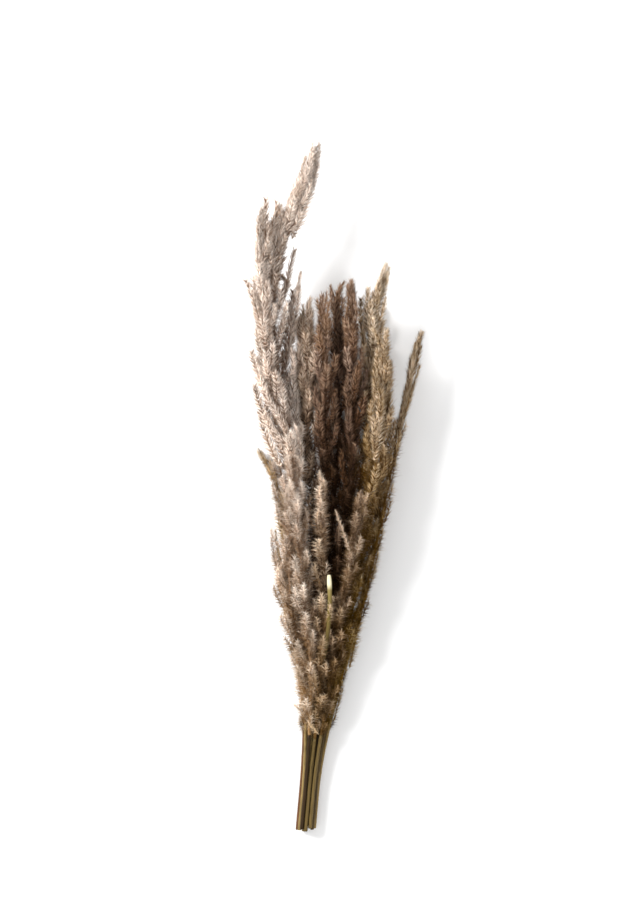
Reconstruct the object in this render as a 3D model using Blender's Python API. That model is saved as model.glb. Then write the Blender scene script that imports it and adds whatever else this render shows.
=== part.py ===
"""A bundle of dried plume grass, lying on its side on a flat surface.

Nineteen stalks are bunched close together at their cut ends and fan out from there. A stalk is a
bare round culm below and a feathery plume above. A plume is a thin axis with tufted side branches
that lie close against it, and neighbouring plumes press against each other without crossing.

X runs across the bundle, Y from the cut ends to the plume tips, and Z up from the surface.
"""

import math
import random

import bmesh
import bpy
from mathutils import Vector

MM = 0.001

# The bare end, where the culms lie in five close rows.
ROWS = (3, 4, 5, 4, 3)
CULM_RADIUS = 2.15 * MM
CULM_SIDES = 6
CULM_PITCH = 4.6 * MM
HANDLE_LENGTH = 42 * MM
HANDLE_X = -31.5 * MM
HANDLE_LEAN = 0.09
CUT_STAGGER = 7 * MM
CULM_RING_SPACING = 44 * MM
JOIN_GAP = 0.3 * MM

# How the stalks fan out: at three heights, the middle and half sizes of the oval that they fill.
FOOT_FAN = {"y": 170 * MM, "x": -15 * MM, "z": 21.5 * MM, "wide": 21 * MM, "deep": 16.5 * MM}
LOWER_FAN = {"y": 257 * MM, "x": -12 * MM, "z": 33 * MM, "wide": 41 * MM, "deep": 25 * MM}
UPPER_FAN = {"y": 419 * MM, "x": 4 * MM, "z": 50 * MM, "wide": 57 * MM, "deep": 38 * MM}
LEAST_SPAN = 45 * MM

# A plume: an axis wrapped in short fluff, and the tufted side branches that stand out of it.
CORE_SIDES = 4
CORE_SHARE = 0.38
CORE_RING_SPACING = 40 * MM
CORE_RELIEF = 0.14
AXIS_RADIUS = 1.2 * MM
BRANCH_SPACING = 26 * MM
BRANCH_LENGTH = 52 * MM
LEAST_BRANCH = 22 * MM
BRANCH_RADIUS = 6.8 * MM
BRANCH_SHARE = 0.5
BRANCH_ROOT_RADIUS = 1.8 * MM
BRANCH_RINGS = ((0.46, 0.95), (0.82, 0.76))
TURN_BETWEEN_BRANCHES = math.radians(137.5)
WALL_GAP = 1.2 * MM
PRESSED_FLAT = 1.3 * MM

COLOURS = {
    "culm": (0.42, 0.31, 0.17),
    "pale": (0.56, 0.46, 0.38),
    "taupe": (0.36, 0.28, 0.22),
    "dark": (0.19, 0.13, 0.10),
    "tan": (0.42, 0.32, 0.22),
}

# Each row of stalks from left to right, the lowest row first. In millimetres: tip is the plume's
# tip, via holds points that its axis passes on the way, start is where the plume begins, reach its
# free half width, and stray how far it leaves its even place in the fan, sideways and up.
STALKS = (
    (
        {"tip": (-36, 372, 10), "start": 108, "reach": 14, "colour": "pale"},
        {"tip": (-10, 451, 10), "start": 125, "reach": 19, "colour": "taupe"},
        {"tip": (22, 395, 10), "start": 112, "reach": 15, "colour": "tan"},
    ),
    (
        {
            "tip": (-84, 420, 10),
            "via": ((-56, 330, 10), (-62, 378, 10)),
            "start": 125,
            "reach": 12,
            "stray": (-13, -21),
            "colour": "tan",
        },
        {"tip": (-39, 570, 22), "start": 190, "reach": 17, "stray": (0, -5), "colour": "taupe"},
        {"tip": (11, 549, 20), "start": 190, "reach": 17, "stray": (0, -5), "colour": "dark"},
        {"tip": (44, 581, 13), "start": 120, "reach": 17, "stray": (6, -19), "colour": "tan"},
    ),
    (
        {
            "tip": (-18, 747, 62),
            "via": ((-66, 549, 58), (-54, 646, 64)),
            "start": 150,
            "reach": 26,
            "stray": (6, 0),
            "colour": "pale",
        },
        {"tip": (-28, 583, 56), "start": 200, "reach": 19, "stray": (-6, 0), "colour": "taupe"},
        {"tip": (2, 602, 52), "start": 215, "reach": 17, "colour": "dark"},
        {"tip": (58, 619, 58), "via": ((43, 570, 56),), "start": 150, "reach": 20, "colour": "tan"},
        {"tip": (93, 548, 50), "start": 140, "reach": 8, "stray": (5, 0), "colour": "tan"},
    ),
    (
        {
            "tip": (-78, 674, 88),
            "via": ((-66, 480, 76), (-76, 570, 86)),
            "start": 120,
            "reach": 18,
            "stray": (-8, 0),
            "colour": "pale",
        },
        {"tip": (-13, 586, 76), "start": 180, "reach": 17, "colour": "dark"},
        {"tip": (18, 602, 74), "start": 180, "reach": 16, "colour": "dark"},
        {"tip": (55, 551, 76), "start": 118, "reach": 18, "stray": (-3, 0), "colour": "tan"},
    ),
    (
        {"tip": (-47, 438, 98), "start": 108, "reach": 19, "colour": "pale"},
        {"tip": (-13, 397, 94), "start": 104, "reach": 18, "colour": "taupe"},
        {"tip": (30, 378, 88), "start": 108, "reach": 17, "colour": "taupe"},
    ),
)


def eased(share):
    """0 below 0 and 1 above 1, with a soft start and end between."""
    share = min(max(share, 0.0), 1.0)
    return share * share * (3 - 2 * share)


class Stalk:
    """One stalk: where it runs, as a place across the bundle for each y, and how wide its plume is."""

    def __init__(self, number, row, column, given):
        self.name = f"{number:02d}"
        self.colour = given["colour"]
        self.reach = given["reach"] * MM
        self.start = given["start"] * MM
        self.across = (column - (ROWS[row] - 1) / 2) / 2
        self.up = (row - 2) * math.sin(math.radians(60)) / 2
        self.random = random.Random(number)
        self.cut = self.random.uniform(0, CUT_STAGGER)
        self.phase = self.random.uniform(0, math.tau)
        stray = [s * MM for s in given.get("stray", (0, 0))]
        tip = Vector(given["tip"]) * MM
        handle_x = HANDLE_X + self.across * 2 * CULM_PITCH
        flat_height = CULM_RADIUS * math.cos(math.pi / CULM_SIDES)
        handle_z = flat_height + row * CULM_PITCH * math.sin(math.radians(60))
        ends = [Vector((handle_x + HANDLE_LEAN * y, y, handle_z)) for y in (0.0, HANDLE_LENGTH)]
        fans = [
            self.in_fan(fan, stray, share)
            for fan, share in ((FOOT_FAN, 0.3), (LOWER_FAN, 0.65), (UPPER_FAN, 1.0))
            if fan["y"] + LEAST_SPAN < tip.y
        ]
        via = [Vector(point) * MM for point in given.get("via", ())]
        self.knots = ends + fans + via + [tip]
        self.slopes = self.find_slopes()

    @property
    def tip(self):
        return self.knots[-1].y

    def in_fan(self, fan, stray, share):
        x = fan["x"] + self.across * fan["wide"] + share * stray[0]
        z = fan["z"] + self.up * fan["deep"] + share * stray[1]
        return Vector((x, fan["y"], z))

    def find_slopes(self):
        """The sideways slope at each knot: straight in the handle, and smooth from there on."""
        slopes = [Vector((HANDLE_LEAN, 1, 0))] * 2
        for before, after in zip(self.knots[1:], self.knots[3:]):
            slopes.append((after - before) / (after.y - before.y))
        last, end = self.knots[-2:]
        slopes.append((end - last) / (end.y - last.y))
        return slopes

    def at(self, y):
        """The middle of the stalk at y."""
        k = 0
        while k < len(self.knots) - 2 and y > self.knots[k + 1].y:
            k += 1
        low, high = self.knots[k], self.knots[k + 1]
        span = high.y - low.y
        t = (y - low.y) / span
        if t > 1:
            return high + self.slopes[k + 1] * (y - high.y)
        rise = t * t * (3 - 2 * t)
        leave = self.slopes[k] * (t * (1 - t) ** 2)
        arrive = self.slopes[k + 1] * (t * t * (1 - t))
        place = low.lerp(high, rise) + (leave - arrive) * span
        return Vector((place.x, y, place.z))

    def reach_at(self, y):
        """How far the plume spreads from its axis at y when nothing presses on it."""
        if y < self.start:
            return CULM_RADIUS
        t = (y - self.start) / (self.tip - self.start)
        opening = 0.4 + 0.6 * eased(t / 0.3)
        closing = 1 - 0.62 * min(t, 1.0) ** 4
        return self.reach * opening * closing


def make_stalks():
    stalks = []
    for row, members in enumerate(STALKS):
        for column, given in enumerate(members):
            stalks.append(Stalk(len(stalks) + 1, row, column, given))
    return stalks


def walls_round(stalk, y, stalks):
    """The planes that keep this plume off the surface and its neighbours at y, each as the way to
    it across the bundle and how far it lies from the plume's axis."""
    here = stalk.at(y)
    own = stalk.reach_at(y)
    walls = [(Vector((0, 0, -1)), here.z)]
    for other in stalks:
        if other is stalk or y > other.tip:
            continue
        way = other.at(y) - here
        apart = way.length
        theirs = other.reach_at(y)
        share = (apart**2 + own**2 - theirs**2) / (2 * apart)
        least = CULM_RADIUS if y < stalk.start else AXIS_RADIUS
        most = apart - (CULM_RADIUS if y < other.start else AXIS_RADIUS)
        walls.append((way / apart, min(max(share, least), most) - WALL_GAP / 2))
    return walls


def way_out(angle):
    """The direction across the bundle at an angle from +X towards +Z."""
    return Vector((math.cos(angle), 0, math.sin(angle)))


def room(walls, way, reach):
    """How far the plume can spread from its axis one way."""
    ahead = [distance / way.dot(normal) for normal, distance in walls if way.dot(normal) > 0.01]
    return max(min(ahead + [reach]), 0)


def fitted(middle, radius, walls):
    """The middle moved in from the walls, and the radius that has room there."""
    for _ in range(6):
        for way, distance in walls:
            over = middle.dot(way) + radius - distance
            if over > 0:
                middle = middle - way * over
    free = min(distance - middle.dot(way) for way, distance in walls)
    return middle, max(min(radius, free), 0.25 * MM)


def pressed(corners):
    """The corners, with those near the surface pressed flat on it."""
    return [Vector((c.x, c.y, 0)) if c.z < PRESSED_FLAT else c for c in corners]


def ring(middle, radius, sides, turn):
    """Corners round a middle, across the bundle."""
    turns = [turn + math.tau * k / sides for k in range(sides)]
    return pressed([middle + radius * way_out(angle) for angle in turns])


def lofted(name, rings, tip=None):
    """A closed object through rings of corners, drawn to a point at the tip where one is given."""
    bm = bmesh.new()
    cap = bm.faces.new([bm.verts.new(corner) for corner in rings[0]])
    for corners in rings[1:]:
        cap = bmesh.ops.extrude_discrete_faces(bm, faces=[cap])["faces"][0]
        for vert, corner in zip(cap.verts, corners):
            vert.co = corner
    if tip is not None:
        bmesh.ops.poke(bm, faces=[cap])["verts"][0].co = tip
    bmesh.ops.holes_fill(bm, edges=bm.edges, sides=0)
    bmesh.ops.triangulate(bm, faces=bm.faces)
    bmesh.ops.recalc_face_normals(bm, faces=bm.faces)
    mesh = bpy.data.meshes.new(name)
    bm.to_mesh(mesh)
    bm.free()
    return bpy.data.objects.new(name, mesh)


def heights(low, high, spacing):
    """Even steps from low to high, both included."""
    count = max(1, round((high - low) / spacing))
    return [low + (high - low) * k / count for k in range(count + 1)]


def make_culm(stalk):
    """The bare stem, from its cut end to just under the plume, flat along its underside."""
    top = stalk.start - JOIN_GAP
    turn = math.pi / CULM_SIDES - math.pi / 2
    places = [stalk.cut] + heights(HANDLE_LENGTH, top, CULM_RING_SPACING)
    rings = [ring(stalk.at(y), CULM_RADIUS, CULM_SIDES, turn) for y in places]
    return lofted(f"culm_{stalk.name}", rings)


def make_core(stalk, stalks):
    """The plume's axis with the short fluff round it, as wide as its neighbours leave it."""
    rings = []
    top = stalk.tip - LEAST_BRANCH / 2
    for k, y in enumerate(heights(stalk.start, top, CORE_RING_SPACING)):
        walls = walls_round(stalk, y, stalks)
        reach = stalk.reach_at(y) * CORE_SHARE * (1 + CORE_RELIEF * (-1) ** k)
        ways = [way_out(stalk.phase + math.tau * k / CORE_SIDES) for k in range(CORE_SIDES)]
        spread = [max(room(walls, way, reach / CORE_SHARE) * CORE_SHARE, AXIS_RADIUS) for way in ways]
        if k == 0:
            spread = [AXIS_RADIUS] * CORE_SIDES
        rings.append(pressed([stalk.at(y) + way * s for way, s in zip(ways, spread)]))
    return lofted(f"plume_{stalk.name}", rings, stalk.knots[-1])


def branches_of(stalk):
    """Where each side branch leaves the axis, its length and its way round the axis."""
    found = []
    y = stalk.start + 3 * MM
    while y < stalk.tip - LEAST_BRANCH / 2:
        length = min(BRANCH_LENGTH, LEAST_BRANCH + 0.3 * (stalk.tip - y))
        length *= stalk.random.uniform(0.88, 1.12)
        found.append((y, length, stalk.phase + len(found) * TURN_BETWEEN_BRANCHES))
        y += BRANCH_SPACING * (0.5 + 0.5 * length / BRANCH_LENGTH)
    return found


def branch_place(stalk, stalks, root, length, angle, t, fullness):
    """The middle and radius of a branch at share t of its length, kept inside the plume's room."""
    y = root + length * t
    walls = walls_round(stalk, y, stalks)
    reach = stalk.reach_at(min(y, stalk.tip))
    way = way_out(angle)
    radius = min(BRANCH_RADIUS, reach * BRANCH_SHARE) * fullness
    middle, radius = fitted(way * max(room(walls, way, reach) - radius * 0.8, 0), radius, walls)
    return stalk.at(y) + middle, radius


def make_branch(stalk, stalks, root, length, angle):
    """One side branch: a tuft that swells from its root on the axis and ends bluntly."""
    rings = [ring(stalk.at(root), BRANCH_ROOT_RADIUS, 3, angle)]
    for t, fullness in BRANCH_RINGS:
        middle, radius = branch_place(stalk, stalks, root, length, angle, t, fullness)
        rings.append(ring(middle, radius, 3, angle))
    tip, _ = branch_place(stalk, stalks, root, length, angle, 1.0, 0.3)
    return lofted("branch", rings, tip)


def shells_of(bm):
    """The mesh's separate closed surfaces, each as a list of faces."""
    left = set(bm.faces)
    shells = []
    while left:
        shell = [left.pop()]
        for face in shell:
            for edge in face.edges:
                found = left.intersection(edge.link_faces)
                left -= found
                shell += found
        shells.append(shell)
    return shells


def fill_pockets(mesh):
    """Fills the hollows that branches close off between them."""
    bm = bmesh.new()
    bm.from_mesh(mesh)
    bmesh.ops.triangulate(bm, faces=bm.faces)
    for shell in shells_of(bm):
        corners = [[v.co for v in face.verts] for face in shell]
        if sum(a.dot(b.cross(c)) for a, b, c in corners) < 0:
            bmesh.ops.delete(bm, geom=shell, context="FACES")
    bm.to_mesh(mesh)
    bm.free()


def join_all(body, pieces):
    """Joins the pieces into the body with one union, and removes them."""
    group = bpy.data.collections.new("branches")
    for piece in pieces:
        group.objects.link(piece)
    union = body.modifiers.new("join", "BOOLEAN")
    union.operation = "UNION"
    union.operand_type = "COLLECTION"
    union.collection = group
    union.solver = "EXACT"
    graph = bpy.context.evaluated_depsgraph_get()
    whole = bpy.data.meshes.new_from_object(body.evaluated_get(graph))
    body.modifiers.clear()
    fill_pockets(whole)
    body.data = whole
    for piece in pieces:
        bpy.data.objects.remove(piece)
    bpy.data.collections.remove(group)


def make_plume(stalk, stalks):
    plume = make_core(stalk, stalks)
    bpy.context.scene.collection.objects.link(plume)
    join_all(plume, [make_branch(stalk, stalks, *branch) for branch in branches_of(stalk)])
    return plume


def material(name, colour):
    made = bpy.data.materials.new(name)
    made.use_nodes = True
    shader = made.node_tree.nodes["Principled BSDF"]
    shader.inputs["Base Color"].default_value = (*colour, 1)
    shader.inputs["Roughness"].default_value = 0.9
    shader.inputs["Metallic"].default_value = 0
    return made


def centre_on_origin(objects):
    """Moves the bundle so that the middle of its footprint is at the origin."""
    corners = [v.co for o in objects for v in o.data.vertices]
    middle = Vector(
        (
            (min(c.x for c in corners) + max(c.x for c in corners)) / 2,
            (min(c.y for c in corners) + max(c.y for c in corners)) / 2,
            0,
        )
    )
    for o in objects:
        o.location = -middle


def main():
    for old in list(bpy.data.objects):
        bpy.data.objects.remove(old)
    paints = {name: material(name, colour) for name, colour in COLOURS.items()}
    stalks = make_stalks()
    objects = []
    for stalk in stalks:
        culm = make_culm(stalk)
        bpy.context.scene.collection.objects.link(culm)
        culm.data.materials.append(paints["culm"])
        plume = make_plume(stalk, stalks)
        plume.data.materials.clear()
        plume.data.materials.append(paints[stalk.colour])
        objects += [culm, plume]
    centre_on_origin(objects)


main()
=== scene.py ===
"""The looks of a bunch of dried plume grass that lies on its side and is seen from above.

Each plume is an axis with side branches, feathery above and woolly near the foot. A branch is one
of a few straight sprigs of spikelets and hairs, bent along its own line and pressed into the room
that the neighbouring plumes leave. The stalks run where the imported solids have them: X across the
bunch, Y from cut ends to tips, Z up.
"""

import math
import random
from itertools import chain

import bmesh
import bpy
import numpy as np
from mathutils import Matrix, Vector


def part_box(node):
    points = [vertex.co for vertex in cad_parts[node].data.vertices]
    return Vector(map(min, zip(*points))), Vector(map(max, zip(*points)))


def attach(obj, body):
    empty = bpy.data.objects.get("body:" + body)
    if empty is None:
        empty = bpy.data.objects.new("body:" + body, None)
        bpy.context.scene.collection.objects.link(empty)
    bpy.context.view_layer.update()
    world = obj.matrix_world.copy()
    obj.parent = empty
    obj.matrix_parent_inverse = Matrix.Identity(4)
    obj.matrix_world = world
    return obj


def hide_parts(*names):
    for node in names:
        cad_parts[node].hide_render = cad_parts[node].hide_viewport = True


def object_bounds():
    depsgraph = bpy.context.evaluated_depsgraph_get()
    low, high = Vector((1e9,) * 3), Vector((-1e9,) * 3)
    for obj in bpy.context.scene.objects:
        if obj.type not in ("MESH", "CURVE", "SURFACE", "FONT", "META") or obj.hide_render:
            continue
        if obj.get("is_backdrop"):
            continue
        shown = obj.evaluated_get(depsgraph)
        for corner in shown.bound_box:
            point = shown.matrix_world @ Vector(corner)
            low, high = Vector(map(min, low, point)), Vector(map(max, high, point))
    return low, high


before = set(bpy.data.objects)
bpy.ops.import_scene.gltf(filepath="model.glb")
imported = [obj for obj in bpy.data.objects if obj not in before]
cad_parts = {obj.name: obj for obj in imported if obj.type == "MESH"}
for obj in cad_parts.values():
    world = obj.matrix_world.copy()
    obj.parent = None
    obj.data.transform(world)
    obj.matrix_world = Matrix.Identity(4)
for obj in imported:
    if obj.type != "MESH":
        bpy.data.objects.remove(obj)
solid_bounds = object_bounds()

MM = 0.001

# The bare end, where the culms lie in five close rows.
ROWS = (3, 4, 5, 4, 3)
CULM_RADIUS = 2.15 * MM
CULM_SIDES = 6
CULM_PITCH = 4.6 * MM
HANDLE_LENGTH = 42 * MM
HANDLE_X = -31.5 * MM
HANDLE_LEAN = 0.09
CUT_STAGGER = 7 * MM

# How the stalks fan out: at three heights, the middle and half sizes of the oval that they fill,
# and how much of a stalk's stray from its even place it has by then.
FOOT_FAN = {"y": 170 * MM, "x": -15 * MM, "z": 21.5 * MM, "wide": 21 * MM, "deep": 16.5 * MM}
LOWER_FAN = {"y": 257 * MM, "x": -12 * MM, "z": 33 * MM, "wide": 41 * MM, "deep": 25 * MM}
UPPER_FAN = {"y": 419 * MM, "x": 4 * MM, "z": 50 * MM, "wide": 57 * MM, "deep": 38 * MM}
FANS = ((FOOT_FAN, 0.3), (LOWER_FAN, 0.65), (UPPER_FAN, 1.0))
LEAST_SPAN = 45 * MM

# The room that a plume keeps to itself, how far neighbours' fluff mingles, and the limits within
# which a branch is fitted into its room.
AXIS_RADIUS = 1.2 * MM
MINGLING = 2.5 * MM
FITTING_ROUNDS = 6
LEAST_RADIUS = 0.25 * MM
LOWEST_POINT = 0.2 * MM
TURN_BETWEEN_BRANCHES = math.radians(137.5)

# The photograph's frame: its size, where the stalks' own X and Y start in it, and its scale.
PHOTO_SIZE = (640, 905)
PHOTO_START = (334.5, 838)
PHOTO_PIXEL = 1.08 * MM

# The camera over the bunch, and the height at which the photograph's pixels are measured.
CAMERA_HEIGHT = 2.25
SEEN_LEVEL = 50 * MM
FILM_HEIGHT = 24

# Each row of stalks from left to right, the lowest row first. In millimetres: tip is the plume's
# tip, via holds points that its axis passes on the way, start is where the plume begins, reach its
# free half width, and stray how far it leaves its even place in the fan, sideways and up.
STALKS = (
    (
        {"tip": (-36, 372, 10), "start": 108, "reach": 14, "colour": "pale"},
        {"tip": (-10, 451, 10), "start": 125, "reach": 19, "colour": "taupe"},
        {"tip": (22, 395, 10), "start": 112, "reach": 15, "colour": "tan"},
    ),
    (
        {
            "tip": (-84, 420, 10),
            "via": ((-56, 330, 10), (-62, 378, 10)),
            "start": 125,
            "reach": 12,
            "stray": (-13, -21),
            "colour": "tan",
        },
        {"tip": (-39, 570, 22), "start": 190, "reach": 17, "stray": (0, -5), "colour": "taupe"},
        {"tip": (11, 549, 20), "start": 190, "reach": 17, "stray": (0, -5), "colour": "dark"},
        {"tip": (44, 581, 13), "start": 120, "reach": 17, "stray": (6, -19), "colour": "tan"},
    ),
    (
        {
            "tip": (-18, 747, 62),
            "via": ((-66, 549, 58), (-54, 646, 64)),
            "start": 150,
            "reach": 26,
            "stray": (6, 0),
            "colour": "pale",
        },
        {"tip": (-28, 583, 56), "start": 200, "reach": 19, "stray": (-6, 0), "colour": "taupe"},
        {"tip": (2, 602, 52), "start": 215, "reach": 17, "colour": "dark"},
        {"tip": (58, 619, 58), "via": ((43, 570, 56),), "start": 150, "reach": 20, "colour": "tan"},
        {"tip": (93, 548, 50), "start": 140, "reach": 8, "stray": (5, 0), "colour": "tan"},
    ),
    (
        {
            "tip": (-78, 674, 88),
            "via": ((-66, 480, 76), (-76, 570, 86)),
            "start": 120,
            "reach": 18,
            "stray": (-8, 0),
            "colour": "pale",
        },
        {"tip": (-13, 586, 76), "start": 180, "reach": 17, "colour": "dark"},
        {"tip": (18, 602, 74), "start": 180, "reach": 16, "colour": "dark"},
        {"tip": (55, 551, 76), "start": 118, "reach": 18, "stray": (-3, 0), "colour": "tan"},
    ),
    (
        {"tip": (-47, 438, 98), "start": 108, "reach": 19, "colour": "pale"},
        {"tip": (-13, 397, 94), "start": 104, "reach": 18, "colour": "taupe"},
        {"tip": (30, 378, 88), "start": 108, "reach": 17, "colour": "taupe"},
    ),
)

# Gaps seen in the fluff: for a plume, from which height to which, on which side, and how near its
# axis the gap comes.
GAPS = {
    "08": (606 * MM, 658 * MM, 1, 2 * MM),
    "18": (262 * MM, 380 * MM, 1, 4 * MM),
    "19": (262 * MM, 380 * MM, -1, 4 * MM),
}

# Each plume's own thin axis. It ends short of the tip, where the fluff goes on alone.
AXIS_SIDES = 6
AXIS_RING_SPACING = 9 * MM
AXIS_FOOT_RADIUS = 1.75 * MM
AXIS_THINNING = 1.35 * MM
AXIS_FOOT = 2 * MM
AXIS_END = 14 * MM
AXIS_TONE = 0.12

# Where the fluff starts, the least room that it has there, and a usual plume's half width.
FOOT = 104 * MM
FOOT_REACH = 6 * MM
USUAL_REACH = 18 * MM

# Side branches: how closely they stand along the axis, and how long they are. Those of a plume
# that others hide stand further apart, but for its tip.
BRANCH_SPACING = 7.4 * MM
HIDDEN_SPACING = 9 * MM
HIDDEN_START = 8 * MM
HIDDEN_TIP = 110 * MM
BRANCH_LENGTH = 46 * MM
LEAST_BRANCH = 20 * MM
LONGER_TO_MIDDLE = 0.45
SHORTER_TO_TIP = 0.3
FOOT_BRANCH = 17 * MM

# A stalk that starts nearer the middle of the rows than this, sideways and up, is a hidden one.
INNER_ACROSS = 0.6
INNER_UP = 0.5

# How a branch runs: where along it it has swung out, how thick it is, how far it strays and turns.
SPINE_STEPS = 8
SWING_OUT = 0.8
BRANCH_WIDTH = 5.6 * MM
BRANCH_THICKNESS = 0.6
LEAST_SPREAD = 1 * MM
WANDER = 3.2 * MM
TWIST = math.radians(25)
LIFT = 0.5

# Woolly branches, below a height that is not quite even: shorter, wider and set more loosely. The
# widths are shares at places along the branch.
WOOL_BELOW = 395 * MM
WOOL_EDGE = 25 * MM
WOOL_LENGTH = 36 * MM
WOOL_WIDTH = 1.85
WOOL_WIDTHS = ((0, 0.6, 0.85, 1), (0.55, 1, 1, 0.75))
WOOL_LOOSE = 1.15

# Fluff along each plume's own axis, which fills the plume behind its side branches, and the
# closer fluff near its tip.
FILLING_SPACING = 32 * MM
FILLING_LENGTH = 58 * MM
FILLING_SHARE = 0.74
CROWN_LENGTH = 150 * MM
CROWN_SPACING = 20 * MM
CROWN_SHARE = 0.55

# How far the fluff reaches past a plume's tip, and how it narrows there.
TIP_FLUFF = 3 * MM
TIP_UNEVEN = 7 * MM
TIP_CLOSING = 50 * MM
TIP_CLOSED = 0.3

# Tone runs from 0, dark, to 1, pale. It falls from a plume's tip downwards, more on the tan and
# dark plumes, where the extra fall, made for the shaded right side and the deep middle of the
# bunch, is painted shade. It falls into a plume's depth, a painted shade, and the filling inside a
# plume is darker still as painted shade. It rises along each branch, partly with the fluff's own
# paler tips and partly as painted light and shade on the lobes. A few plumes are paler or darker
# than others of their colour, partly their own colour and partly painted shade on the right.
FALL_LENGTH = 240 * MM
# Darker further below each tip; the stronger fall of the tan and dark plumes is painted shade on
# the shaded right side and deep in the middle of the bunch.
FALL = {"pale": 0.15, "taupe": 0.17, "dark": 0.44, "tan": 0.42}
DEPTH_PAINTED_SHADE = 0.3
# Rise along each branch: partly the fluff's own paler tips, partly painted shade at the roots
# between lobes and painted light at their ends.
FEATHER_TONE = 0.24
WOOL_TONE = 0.75
# Painted shade: the filling deep inside a plume, below its crown, is darker.
INNER_PAINTED_SHADE = -0.2
UNLIKE = {"feather": 0.06, "twig": 0.06, "wool": 0.15}
# Paler and darker plumes: partly their own colour, and for 12, 16 and 19 on the right painted shade
# where less light falls.
PLUME_TONES_AND_SHADE = {
    "02": 0.06,
    "05": 0.04,
    "12": -0.14,
    "16": -0.14,
    "17": 0.05,
    "18": 0.15,
    "19": -0.1,
}

# Sprigs: rows of spikelets round a thin stem, some with a hair. Rows are angles round it, in
# degrees, from across the branch (0 and 180) to outwards (90). Angle is how far a spikelet leans
# out, spread how much that varies, and tones run from its root to its tip. The dark roots, with the
# darker stem, are partly the spikelets' own colour and partly painted shade between them.
SPRIGS = {
    "feather": {
        "rows": (-24, 4, 34, 66, 114, 146, 176, 204),
        "spacing": 3.3 * MM,
        "stagger": 0.13,
        "angle": 43,
        "spread": 4,
        "length": 8.8 * MM,
        "width": 1.5 * MM,
        "tones": (0.18, 0.92),
        "hairs": 0.7,
        "hair": 9.5 * MM,
        "hair_width": 0.35 * MM,
    },
    "wool": {
        "rows": (-62, -25, 12, 50, 90, 130, 168, 205, 242),
        "spacing": 1.75 * MM,
        "stagger": 0.6,
        "angle": 54,
        "spread": 20,
        "length": 5.4 * MM,
        "width": 0.46 * MM,
        "tones": (0.2, 0.72),
        "hairs": 0.1,
        "hair": 7 * MM,
        "hair_width": 0.22 * MM,
    },
    "twig": {
        "rows": (0, 90, 180),
        "spacing": 3.2 * MM,
        "stagger": 0.25,
        "angle": 36,
        "spread": 9,
        "length": 6.5 * MM,
        "width": 1.4 * MM,
        "tones": (0.14, 0.92),
        "hairs": 0.2,
        "hair": 6 * MM,
        "hair_width": 0.3 * MM,
    },
}
SPRIG_LENGTHS = (50 * MM, 36 * MM, 24 * MM)
SPRIGS_EACH = 3
SPRIG_STEM_WIDTH = 1.1 * MM
SPRIG_STEM_TONES = (0.12, 0.3)
HAIR_TONES = (0.8, 1)
HAIR_SWING = 0.2
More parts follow.
